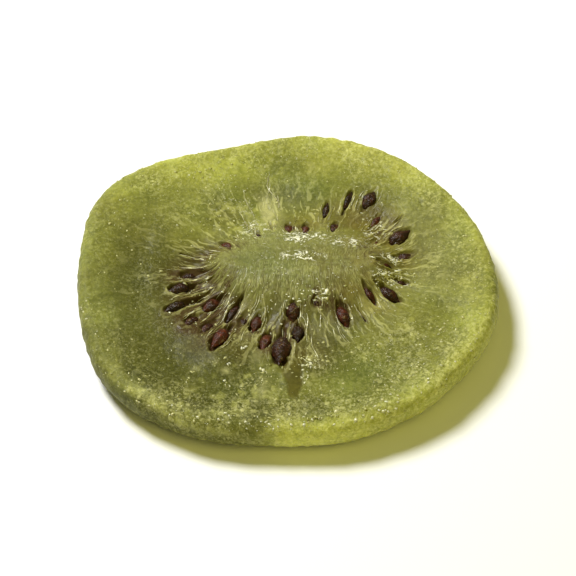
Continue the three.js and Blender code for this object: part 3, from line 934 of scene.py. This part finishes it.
def face_specks():
    """The crumbs of the cut face, as their x, y, z, sizes, and how frosty they are, partly as painted glint.
    """
    tries = SPECKS["tries"]
    ray = rng.uniform(0, 2 * math.pi, tries)
    ring = np.sqrt(rng.uniform(0.05, 1, tries)) * last_ring(ray) * 0.985
    x, y = place(ring, ray)
    rim = smooth(outline_share(x, y), 0.7, 0.95)
    near_right = facing(x, y, SPECKS["thickest"])
    cluster = smooth(noise(stacked(x, y, 0), 2.4, 21), -0.2, 0.5)
    keep = 0.12 + 0.3 * rim + 0.5 * near_right * smooth(ring, 1, 1.4)
    kept = rng.uniform(0, 1, tries) < keep * (0.35 + 0.9 * cluster)
    sizes = SPECKS["small"] + (SPECKS["large"] - SPECKS["small"]) * rng.uniform(0, 1, kept.sum()) ** 3
    found = [(x[kept], y[kept], sizes, 0 * sizes)]
    for centre_x, centre_y, wide, deep, count, largest, frost_and_glint in CLUSTERS:
        x = centre_x + wide * rng.normal(0, 1, count)
        y = centre_y + deep * rng.normal(0, 1, count)
        found.append((x, y, largest * rng.uniform(0.3, 1, count), frost_and_glint * rng.uniform(0.5, 1, count)))
    x, y, sizes, frost_and_glint_share = np.concatenate(found, axis=1)
    inside = outline_share(x, y) < SPECKS["reach"]
    x, y, sizes, frost_and_glint_share = x[inside], y[inside], sizes[inside], frost_and_glint_share[inside]
    return x, y, surface_at(x, y), sizes, frost_and_glint_share


def rim_specks(points, side):
    """The same for the rim, where most crumbs are at the near side and on its crest."""
    x, y, z = np.moveaxis(points, -1, 0)
    near = facing(x, y, NEAR)
    crest = bell(side, 0.85, 0.2) * near**0.5
    on_rim = (side < 0.999) & (side > 0.3)
    taken = rng.uniform(0, 1, side.shape) < SPECKS["on_rim"] * on_rim * (0.2 + 0.4 * near + 0.5 * crest)
    crest = crest[taken]
    sizes = SPECKS["small"] + 0.1 * rng.uniform(0, 1, len(crest)) ** 2 * (1 + crest)
    return x[taken], y[taken], z[taken], sizes, crest * rng.uniform(0.1, 0.9, len(crest))


def icosahedron():
    """The corners and triangles of a ball of 20 faces, of radius 1."""
    golden = (1 + 5**0.5) / 2
    corners = []
    for a, b in itertools.product((-1, 1), (-golden, golden)):
        corners += [(0, a, b), (a, b, 0), (b, 0, a)]
    corners = np.array(corners, float)
    corners /= np.linalg.norm(corners[0])
    near = np.linalg.norm(corners[:, None] - corners[None], axis=2) < 1.06
    triangles = []
    for a, b, c in itertools.combinations(range(len(corners)), 3):
        if near[a, b] and near[b, c] and near[a, c]:
            outward = np.dot(np.cross(corners[b] - corners[a], corners[c] - corners[a]), corners[a]) > 0
            triangles.append((a, b, c) if outward else (a, c, b))
    return corners, triangles


def build_specks(flesh_points, side):
    """Crumbs of pulp and sugar on the cut face and the rim, thickest at the near right and on the rim."""
    x, y, z, sizes, frost_and_glint_share = np.concatenate([face_specks(), rim_specks(flesh_points, side)], axis=1)
    z = z - SPECKS["sunk"] * sizes
    light = lightness(stacked(x, y, z), outline_share(x, y))
    pulp = mix(mix(MID_FLESH, LIGHT_FLESH, light), CREAM, rng.uniform(0.3, 1, len(x)))
    corners, triangles = icosahedron()
    points = []
    faces = []
    for i, size in enumerate(sizes):
        stretch = size * rng.uniform(0.6, 1.3, 3) * np.array([rng.uniform(0.9, 1.8), 0.9, 0.6])
        turn = rng.uniform(0, math.pi)
        # The frost and painted glints beyond the core's middle lie in dashes along it
        if frost_and_glint_share[i] > 0.55 and y[i] > 0:
            stretch = stretch * np.array([1.7, 0.7, 0.7])
            turn = rng.uniform(-0.6, 0.6)
        crumb = corners * rng.uniform(0.8, 1.2, (len(corners), 1)) * stretch
        dx, dy = turned(crumb[:, 0], crumb[:, 1], turn)
        points.append(stacked(x[i] + dx, y[i] + dy, z[i] + crumb[:, 2]))
        faces += [tuple(len(corners) * i + corner for corner in triangle) for triangle in triangles]
    piece = build_mesh("kiwi_specks", np.concatenate(points), faces, speck_material())
    # Frosty crumbs are tinted towards the frost white, partly a painted glint
    paint(piece, "tint", np.repeat(mix(pulp, FROST_AND_GLINT, frost_and_glint_share), len(corners), axis=0))
    return piece


class Signal:
    """What a node gives out, to be worked on further with other signals and numbers."""

    def __init__(self, nodes, socket):
        self.nodes = nodes
        self.socket = socket

    def __add__(self, other):
        return self.nodes.math("ADD", self, other)

    def __sub__(self, other):
        return self.nodes.math("SUBTRACT", self, other)

    def __mul__(self, other):
        return self.nodes.math("MULTIPLY", self, other)

    def larger(self, other):
        return self.nodes.math("MAXIMUM", self, other)

    def spread(self, *limits):
        """0 below a low and 1 above a high limit, or else the two numbers that come after them."""
        inputs = dict(enumerate((self, *limits)))
        return self.nodes.add("ShaderNodeMapRange", 0, inputs, interpolation_type="SMOOTHSTEP")

    def tinted(self, factors):
        return self.nodes.blend(1, self, factors, "MULTIPLY")

    def split(self):
        node = self.nodes.new("ShaderNodeSeparateColor", {0: self})
        return [Signal(self.nodes, output) for output in node.outputs[:3]]


class Nodes:
    """A short way to write a material's nodes."""

    def __init__(self, name):
        self.material = bpy.data.materials.new(name)
        self.material.use_nodes = True
        self.tree = self.material.node_tree
        self.shader = self.tree.nodes["Principled BSDF"]

    def put(self, socket, value):
        if isinstance(value, Signal):
            self.tree.links.new(value.socket, socket)
        elif socket.type == "RGBA":
            socket.default_value = (*value, 1)
        else:
            socket.default_value = value

    def set(self, **inputs):
        for name, value in inputs.items():
            self.put(self.shader.inputs[name.replace("_", " ")], value)

    def new(self, kind, inputs, **settings):
        """A node with some inputs, by name or number, and some settings."""
        node = self.tree.nodes.new(kind)
        for name, setting in settings.items():
            setattr(node, name, setting)
        for key, value in inputs.items():
            self.put(node.inputs[key], value)
        return node

    def add(self, kind, output, inputs, **settings):
        return Signal(self, self.new(kind, inputs, **settings).outputs[output])

    def math(self, operation, *values):
        return self.add("ShaderNodeMath", 0, dict(enumerate(values)), operation=operation)

    def vector(self, operation, *values):
        return self.add("ShaderNodeVectorMath", 0, dict(enumerate(values)), operation=operation)

    def blend(self, share, first, second, mode="MIX"):
        inputs = {0: share, 6: first, 7: second}
        return self.add("ShaderNodeMix", 2, inputs, data_type="RGBA", blend_type=mode)

    def attribute(self, name):
        return self.add("ShaderNodeAttribute", "Color", {}, attribute_name=name)

    def position(self):
        return self.add("ShaderNodeTexCoord", "Object", {})

    def grain(self, size, detail=2, roughness=0.5, vector=None, output="Fac"):
        """Noise whose features are about size metres across."""
        inputs = {"Scale": 1 / size, "Detail": detail, "Roughness": roughness}
        return self.add("ShaderNodeTexNoise", output, {"Vector": vector or self.position(), **inputs})

    def bent(self, vector, size, amount, detail=2):
        """A vector shifted by noise whose features are about size metres across."""
        return self.vector("MULTIPLY_ADD", self.grain(size, detail, output="Color"), amount, vector)

    def drawn_out(self, size, stretch):
        """Noise whose features are about size metres deep and so many times as wide."""
        squeezed = self.vector("MULTIPLY", self.position(), (1 / stretch, 1, 1))
        return self.grain(size, 3, 0.7, self.bent(squeezed, 2.5 * size, 3 * (4 * size,)))

    def cells(self, size):
        """Cells about size metres wide: a point's distance from its cell's middle, and the cell's number."""
        vector = self.bent(self.position(), 2 * size, 3 * (1.6 * size,))
        node = self.new("ShaderNodeTexVoronoi", {"Vector": vector, "Scale": 1 / size})
        distance, number = (Signal(self, node.outputs[name]) for name in ("Distance", "Color"))
        return distance, number.split()[0]

    def streaks(self, across, along):
        """Noise drawn out along the rays: larger numbers make narrower and shorter streaks."""
        scaled = self.vector("MULTIPLY", self.attribute("polar"), (across, across, along))
        return self.grain(1, vector=self.bent(scaled, 1 / 700, (2.5, 2.5, 0.5), 1))

    def squiggles(self, size, width):
        """Short wavy lines, from the places where a noise passes through its middle value."""
        away = self.math("ABSOLUTE", self.grain(size, 1) - 0.5)
        return away.spread(0.3 * width, width, 1, 0) * self.grain(1.4 * size, 1).spread(0.5, 0.6)

    def bump(self, height, distance):
        inputs = {"Height": height, "Distance": distance, "Strength": 1}
        self.set(Normal=self.add("ShaderNodeBump", 0, inputs))


def flesh_material():
    nodes = Nodes("kiwi_flesh")
    tint = nodes.attribute("tint")
    net, specks, frost_and_glint = nodes.attribute("feel").split()
    fibres, brown, relief = nodes.attribute("weave").split()
    dull, core, smooth_zone = nodes.attribute("zones").split()
    pale = nodes.blend(0.55, tint.tinted((1.8, 1.8, 2.2)), CREAM)

    # Clouded and mottled flesh
    cloud = nodes.grain(2 * MM, 3, 0.55).spread(0.32, 0.68)
    mottle = nodes.grain(0.45 * MM, 3, 0.65).spread(0.36, 0.64)
    dark, light = tint.tinted((0.76, 0.77, 0.8)), tint.tinted((1.22, 1.2, 1.18))
    colour = nodes.blend(cloud * 0.4 + mottle * 0.6, dark, light)

    # Pale fibres along the rays, finer in the core, and brown membranes in the gaps between them
    coarse = nodes.streaks(26, 8)
    fine = nodes.streaks(60, 12)
    hairs = nodes.streaks(150, 42).spread(0.5, 0.62)
    gaps = (coarse * 0.6 + fine * 0.4).spread(0.42, 0.54, 1, 0)
    lines = (coarse * 0.3 + fine * 0.7).spread(0.54, 0.62)
    lines = lines * core.spread(0, 1, 1, 0) + hairs * core
    colour = nodes.blend(brown * gaps.spread(0, 1, core.spread(0, 1, 0.88, 0.1), 1), colour, STAIN)
    colour = nodes.blend(fibres * lines * core.spread(0, 1, 0.75, 0.6), colour, pale)

    # The net of cell walls, as pale granules, flecks and short wavy lines
    crowd = nodes.grain(3 * MM, 2, 0.6).spread(0.4, 0.62, 0.35, 1) * specks
    distance, number = nodes.cells(0.58 * MM)
    granule = (distance - crowd * 0.16).spread(0.2, 0.44, 1, 0) * number.spread(0.15, 0.9)
    flecks = (nodes.grain(0.26 * MM, 2, 0.6) + crowd * 0.05).spread(0.53, 0.62)
    squiggle = nodes.squiggles(1.1 * MM, 0.035).larger(nodes.squiggles(2.8 * MM, 0.014))
    granules = (granule * 0.7 + flecks * 0.6).larger(squiggle * 0.45) * net
    colour = nodes.blend(granules * 0.8, colour, pale)

    # Pale dots and clots of pulp
    distance, number = nodes.cells(1.2 * MM)
    dot = distance.spread(0.12, 0.24, 1, 0) * number.spread(0.45, 0.65)
    clot = (nodes.grain(0.4 * MM, 3, 0.72) + crowd * 0.08).spread(0.56, 0.7)
    clot = clot * crowd.spread(0.02, 0.5) * distance.spread(0.2, 0.6, 1, 0.35)
    dots = (dot * specks).larger(clot * 0.75)
    colour = nodes.blend(dots, colour, pale)

    # Crystals of sugar, partly painted glints
    crust = nodes.drawn_out(0.4 * MM, 1.6) + frost_and_glint * 0.1
    crystals_and_glints = crust.spread(0.57, 0.64) * frost_and_glint.spread(0, 0.3)
    colour = nodes.blend(crystals_and_glints, colour, FROST_AND_GLINT)

    matt = dull.larger(relief * 0.75)
    crisp = crystals_and_glints + fibres * 0.6 + (dots + granules * 0.5)
    nodes.set(Base_Color=colour, Roughness=matt.spread(0, 1, 0.2, 0.52), Specular_IOR_Level=0.13, IOR=1.42)
    nodes.set(Subsurface_Weight=crisp.spread(0, 1, 0.45, 0.05))
    nodes.set(Subsurface_Scale=0.9 * MM, Subsurface_Radius=(0.95, 1, 0.3))
    height = mottle * (smooth_zone.spread(0, 1, 0.12, 0.02) + dull * 0.3)
    height = height + (lines - gaps) * (relief * 0.5)
    nodes.bump(height + ((granules + dots) * 0.6 + crystals_and_glints), 0.06 * MM)
    return nodes.material


def seed_material():
    nodes = Nodes("kiwi_seed")
    tint = nodes.attribute("tint")
    patch = nodes.grain(0.5 * MM, 3, 0.6).spread(0.4, 0.72)
    film = nodes.squiggles(0.7 * MM, 0.03) * 0.5
    colour = nodes.blend(patch, tint, tint.tinted((2.7, 1.9, 1.2)))
    colour = nodes.blend(film, colour, (0.2, 0.15, 0.06))
    nodes.set(Base_Color=colour, Roughness=0.24, Specular_IOR_Level=0.22)
    nodes.bump(nodes.grain(0.3 * MM, 3, 0.6) + film, 0.2 * MM)
    return nodes.material


def moisten(nodes, colour, roughness, coat, glow, reach):
    """A thin wet coat, and light that passes through: glow is its share, and reach how far it goes."""
    nodes.set(Base_Color=colour, Roughness=roughness, Coat_Weight=coat, Coat_Roughness=0.1)
    nodes.set(Subsurface_Weight=glow, Subsurface_Scale=reach, Subsurface_Radius=(1, 0.9, 0.5))


def strand_material():
    nodes = Nodes("kiwi_strand")
    shade = nodes.grain(0.8 * MM).spread(0.42, 0.68)
    colour = nodes.blend(shade, (0.22, 0.2, 0.06), (0.8, 0.76, 0.46))
    moisten(nodes, colour, 0.3, 0.3, 0.5, 0.4 * MM)
    nodes.bump(nodes.grain(0.2 * MM, 1), 0.03 * MM)
    return nodes.material


def speck_material():
    nodes = Nodes("kiwi_speck")
    tint = nodes.attribute("tint")
    shade = nodes.grain(0.2 * MM, 1).spread(0.35, 0.65)
    colour = nodes.blend(shade, tint.tinted((0.75, 0.75, 0.7)), tint)
    moisten(nodes, colour, 0.25, 0.25, 0.4, 0.3 * MM)
    return nodes.material


def floor_material():
    nodes = Nodes("floor")
    nodes.set(Base_Color=FLOOR["colour"], Roughness=FLOOR["roughness"])
    return nodes.material


# The camera looks down on the cut face as the photograph does
CAMERA = {"elevation": 50, "distance": 0.313, "lens": 180, "clip": 0.01, "target": Vector((0, 0, 0.0022))}
# A light is (name, direction it comes from, distance, size, power, colour), and a direction is
# (azimuth from the near side towards the right, elevation)
LIGHTS = [
    ("key", (226, 53), 0.42, 0.15, 2.6, (1, 1, 0.98)),
    ("fill", (35, 52), 0.5, 0.5, 0.9, (1, 0.93, 0.14)),
]
SKY = {"colour": (1, 0.96, 0.6, 1), "strength": 0.1}
FLOOR = {"half": 1.5, "colour": (0.86, 0.86, 0.88), "roughness": 0.6}


def direction(azimuth, elevation):
    """The way towards a place round the slice: azimuth 0 is the near side and 90 the right."""
    a, e = math.radians(azimuth), math.radians(elevation)
    return Vector((math.sin(a) * math.cos(e), -math.cos(a) * math.cos(e), math.sin(e)))


def aim(thing, way, distance, target):
    thing.location = target + way * distance
    thing.rotation_mode = "QUATERNION"
    thing.rotation_quaternion = way.to_track_quat("Z", "Y")


def build_camera():
    data = bpy.data.cameras.new("camera")
    data.lens = CAMERA["lens"]
    data.clip_start = CAMERA["clip"]
    camera = show("camera", data)
    aim(camera, direction(0, CAMERA["elevation"]), CAMERA["distance"], CAMERA["target"])
    bpy.context.scene.camera = camera


def build_lights():
    for name, way, distance, size, power, colour in LIGHTS:
        data = bpy.data.lights.new(name, "AREA")
        data.shape = "DISK"
        data.size = size
        data.energy = power
        data.color = colour
        aim(show(name, data), direction(*way), distance, Vector((0, 0, 0)))
    world = bpy.data.worlds.new("studio")
    world.use_nodes = True
    background = world.node_tree.nodes["Background"]
    background.inputs["Color"].default_value = SKY["colour"]
    background.inputs["Strength"].default_value = SKY["strength"]
    bpy.context.scene.world = world


def build_floor():
    half = FLOOR["half"]
    corners = [(-half, -half, 0), (half, -half, 0), (half, half, 0), (-half, half, 0)]
    mesh = bpy.data.meshes.new("floor")
    mesh.from_pydata(corners, [], [(0, 1, 2, 3)])
    mesh.materials.append(floor_material())
    floor = show("floor", mesh)


flesh, flesh_points, flesh_side = build_flesh()
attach(flesh, "root")
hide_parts("kiwi_slice")

seeds = build_seeds()
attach(seeds, "root")

strands = build_strands()
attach(strands, "root")

specks = build_specks(flesh_points, flesh_side)
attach(specks, "root")

build_camera()
build_lights()
build_floor()
bpy.context.scene.view_settings.view_transform = "Standard"
